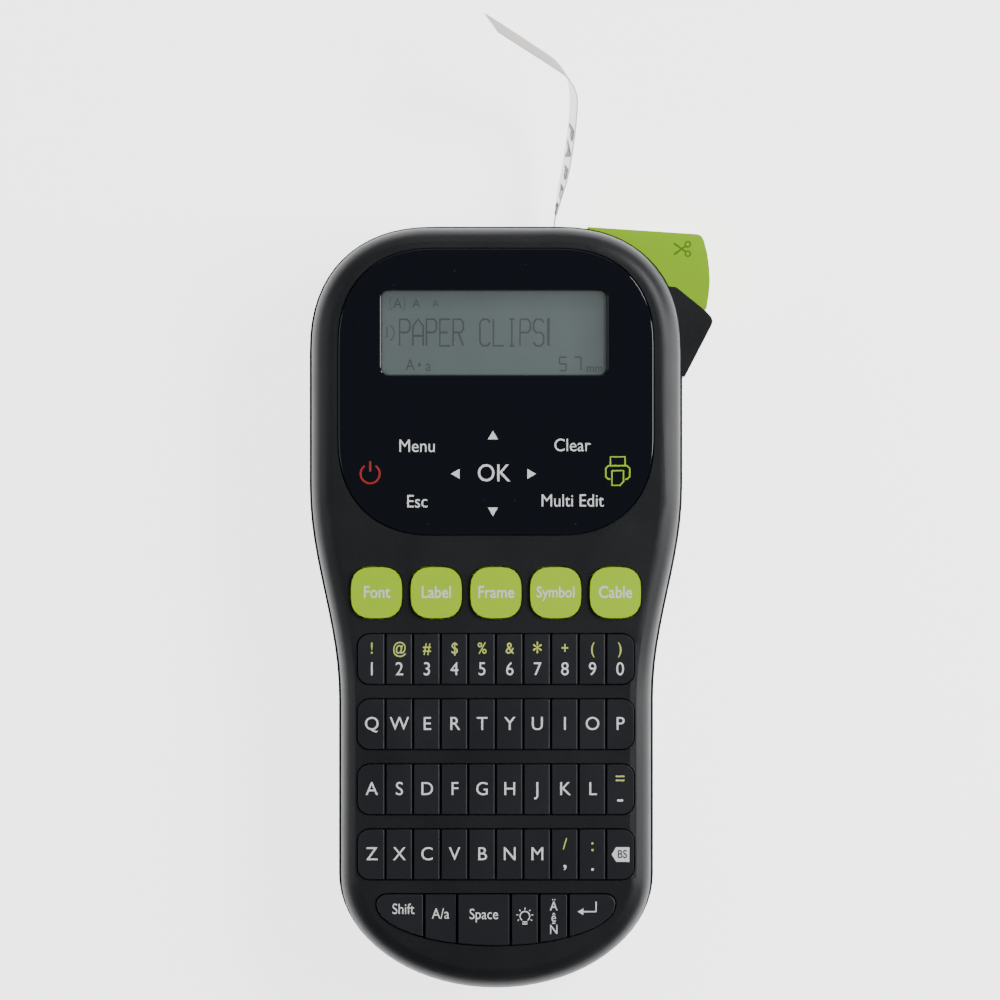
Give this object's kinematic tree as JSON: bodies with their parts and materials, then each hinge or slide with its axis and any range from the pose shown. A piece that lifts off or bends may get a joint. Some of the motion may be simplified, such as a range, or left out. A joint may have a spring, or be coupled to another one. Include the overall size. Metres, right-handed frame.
{
  "type": "label maker",
  "caption": "Handheld label maker with a display, lime function keys, letter keys, a side cutter lever and a printed tape coming out.",
  "frame": {"origin": "on the flat back, on the body's middle plane, 100 mm above the end of the grip", "axes": "+Z out of the front face, +Y toward the tape exit, +X to the right seen from the front"},
  "size_m": [0.106, 0.2549, 0.0456],
  "materials": {
    "case": "fine-grained matte charcoal",
    "inner": "matte",
    "panel": "polished",
    "window": "clear, polished",
    "display": "satin grey-green",
    "board": "solder mask",
    "lime": "satin lime",
    "keys": "satin",
    "rubber": "matte",
    "steel": "plain",
    "gear": "satin",
    "cell": "satin jacket",
    "tape": "laminated",
    "ribbon": "film"
  },
  "bodies": {
    "casing": {"front_case": "case", "rear_case": "case", "cassette_case": "inner", "battery_tray": "inner", "front_panel": "panel", "display_window": "window", "lcd_module": "display", "touch_board": "board", "main_board": "board", "key_mat": "rubber", "case_screw_left": "steel", "case_screw_right": "steel", "case_screw_bottom": "steel", "print_chassis": "steel", "motor": "steel", "print_head": "steel", "head_bracket": "steel", "lever_pin": "steel", "lever_spring": "steel", "cutter_anvil": "steel", "contact_strip_lower": "steel", "contact_strip_upper": "steel", "cell_1": "cell", "cell_2": "cell", "cell_3": "cell", "cell_4": "cell", "cell_5": "cell", "cell_6": "cell", "label_tape": "tape", "printed_label": "tape"},
    "font_key": {"font_key": "lime"},
    "label_key": {"label_key": "lime"},
    "frame_key": {"frame_key": "lime"},
    "symbol_key": {"symbol_key": "lime"},
    "cable_key": {"cable_key": "lime"},
    "number_key_row": {"number_key_row": "keys"},
    "upper_letter_key_row": {"upper_letter_key_row": "keys"},
    "middle_letter_key_row": {"middle_letter_key_row": "keys"},
    "lower_letter_key_row": {"lower_letter_key_row": "keys"},
    "shift_key": {"shift_key": "keys"},
    "capitals_key": {"capitals_key": "keys"},
    "space_key": {"space_key": "keys"},
    "light_key": {"light_key": "keys"},
    "accent_key": {"accent_key": "keys"},
    "enter_key": {"enter_key": "keys"},
    "cassette_door": {"cassette_door": "case"},
    "battery_door": {"battery_door": "case"},
    "cutter_lever": {"cutter_lever": "lime"},
    "blade_carriage": {"blade_carriage": "steel", "cutter_blade": "steel"},
    "motor_pinion": {"motor_pinion": "steel"},
    "idler_gear": {"idler_gear": "gear"},
    "platen": {"platen_shaft": "steel", "platen_roller": "rubber", "platen_gear": "gear"},
    "takeup": {"takeup_spindle": "gear", "takeup_gear": "gear", "ribbon_takeup_spool": "ribbon"},
    "tape_spool": {"tape_spool": "tape"},
    "ribbon_supply_spool": {"ribbon_supply_spool": "ribbon"}
  },
  "joints": [
    {"name": "font_key_press", "type": "slide", "parent": "casing", "child": "font_key", "axis": [0, 0, -1], "range_m": [0, 0.0008], "stiffness_N_per_m": 150},
    {"name": "label_key_press", "type": "slide", "parent": "casing", "child": "label_key", "axis": [0, 0, -1], "range_m": [0, 0.0008], "stiffness_N_per_m": 150},
    {"name": "frame_key_press", "type": "slide", "parent": "casing", "child": "frame_key", "axis": [0, 0, -1], "range_m": [0, 0.0008], "stiffness_N_per_m": 150},
    {"name": "symbol_key_press", "type": "slide", "parent": "casing", "child": "symbol_key", "axis": [0, 0, -1], "range_m": [0, 0.0008], "stiffness_N_per_m": 150},
    {"name": "cable_key_press", "type": "slide", "parent": "casing", "child": "cable_key", "axis": [0, 0, -1], "range_m": [0, 0.0008], "stiffness_N_per_m": 150},
    {"name": "number_key_row_press", "type": "slide", "parent": "casing", "child": "number_key_row", "axis": [0, 0, -1], "range_m": [0, 0.0008], "stiffness_N_per_m": 150},
    {"name": "upper_letter_key_row_press", "type": "slide", "parent": "casing", "child": "upper_letter_key_row", "axis": [0, 0, -1], "range_m": [0, 0.0008], "stiffness_N_per_m": 150},
    {"name": "middle_letter_key_row_press", "type": "slide", "parent": "casing", "child": "middle_letter_key_row", "axis": [0, 0, -1], "range_m": [0, 0.0008], "stiffness_N_per_m": 150},
    {"name": "lower_letter_key_row_press", "type": "slide", "parent": "casing", "child": "lower_letter_key_row", "axis": [0, 0, -1], "range_m": [0, 0.0008], "stiffness_N_per_m": 150},
    {"name": "shift_key_press", "type": "slide", "parent": "casing", "child": "shift_key", "axis": [0, 0, -1], "range_m": [0, 0.0008], "stiffness_N_per_m": 150},
    {"name": "capitals_key_press", "type": "slide", "parent": "casing", "child": "capitals_key", "axis": [0, 0, -1], "range_m": [0, 0.0008], "stiffness_N_per_m": 150},
    {"name": "space_key_press", "type": "slide", "parent": "casing", "child": "space_key", "axis": [0, 0, -1], "range_m": [0, 0.0008], "stiffness_N_per_m": 150},
    {"name": "light_key_press", "type": "slide", "parent": "casing", "child": "light_key", "axis": [0, 0, -1], "range_m": [0, 0.0008], "stiffness_N_per_m": 150},
    {"name": "accent_key_press", "type": "slide", "parent": "casing", "child": "accent_key", "axis": [0, 0, -1], "range_m": [0, 0.0008], "stiffness_N_per_m": 150},
    {"name": "enter_key_press", "type": "slide", "parent": "casing", "child": "enter_key", "axis": [0, 0, -1], "range_m": [0, 0.0008], "stiffness_N_per_m": 150},
    {"name": "cassette_door_hinge", "type": "hinge", "parent": "casing", "child": "cassette_door", "pos_m": [0, 0.0189, 0.0009], "axis": [-1, 0, 0], "range_deg": [0, 100]},
    {"name": "battery_door_hinge", "type": "hinge", "parent": "casing", "child": "battery_door", "pos_m": [0, -0.0364, 0.0009], "axis": [1, 0, 0], "range_deg": [0, 95]},
    {"name": "cutter_lever_hinge", "type": "hinge", "parent": "casing", "child": "cutter_lever", "pos_m": [0.03, 0.08, 0.012], "axis": [0, 0, -1], "range_deg": [0, 14], "stiffness_Nm_per_rad": 0.3},
    {"name": "blade_slide", "type": "slide", "parent": "casing", "child": "blade_carriage", "axis": [1, 0, 0], "range_m": [0, 0.0027]},
    {"name": "motor_spin", "type": "hinge", "parent": "casing", "child": "motor_pinion", "pos_m": [0.031, 0.05004, 0.012], "axis": [0, 0, 1], "continuous": true},
    {"name": "idler_spin", "type": "hinge", "parent": "casing", "child": "idler_gear", "pos_m": [0.02612, 0.06209, 0.012], "axis": [0, 0, 1], "continuous": true},
    {"name": "platen_spin", "type": "hinge", "parent": "casing", "child": "platen", "pos_m": [0.0205, 0.076, 0.012], "axis": [0, 0, 1], "continuous": true},
    {"name": "takeup_spin", "type": "hinge", "parent": "casing", "child": "takeup", "pos_m": [0.01013, 0.06223, 0.012], "axis": [0, 0, 1], "continuous": true},
    {"name": "tape_spool_spin", "type": "hinge", "parent": "casing", "child": "tape_spool", "pos_m": [-0.017, 0.046, 0.012], "axis": [0, 0, 1], "continuous": true},
    {"name": "ribbon_supply_spin", "type": "hinge", "parent": "casing", "child": "ribbon_supply_spool", "pos_m": [0.0085, 0.033, 0.012], "axis": [0, 0, 1], "continuous": true}
  ],
  "couplings": [
    {"joint": "blade_slide", "follows": "cutter_lever_hinge", "m_per_rad": 0.010891},
    {"joint": "idler_spin", "follows": "motor_spin", "ratio": -0.625},
    {"joint": "platen_spin", "follows": "motor_spin", "ratio": 0.71429},
    {"joint": "takeup_spin", "follows": "motor_spin", "ratio": 0.625},
    {"joint": "tape_spool_spin", "follows": "motor_spin", "ratio": -0.19328},
    {"joint": "ribbon_supply_spin", "follows": "motor_spin", "ratio": -0.4381}
  ]
}
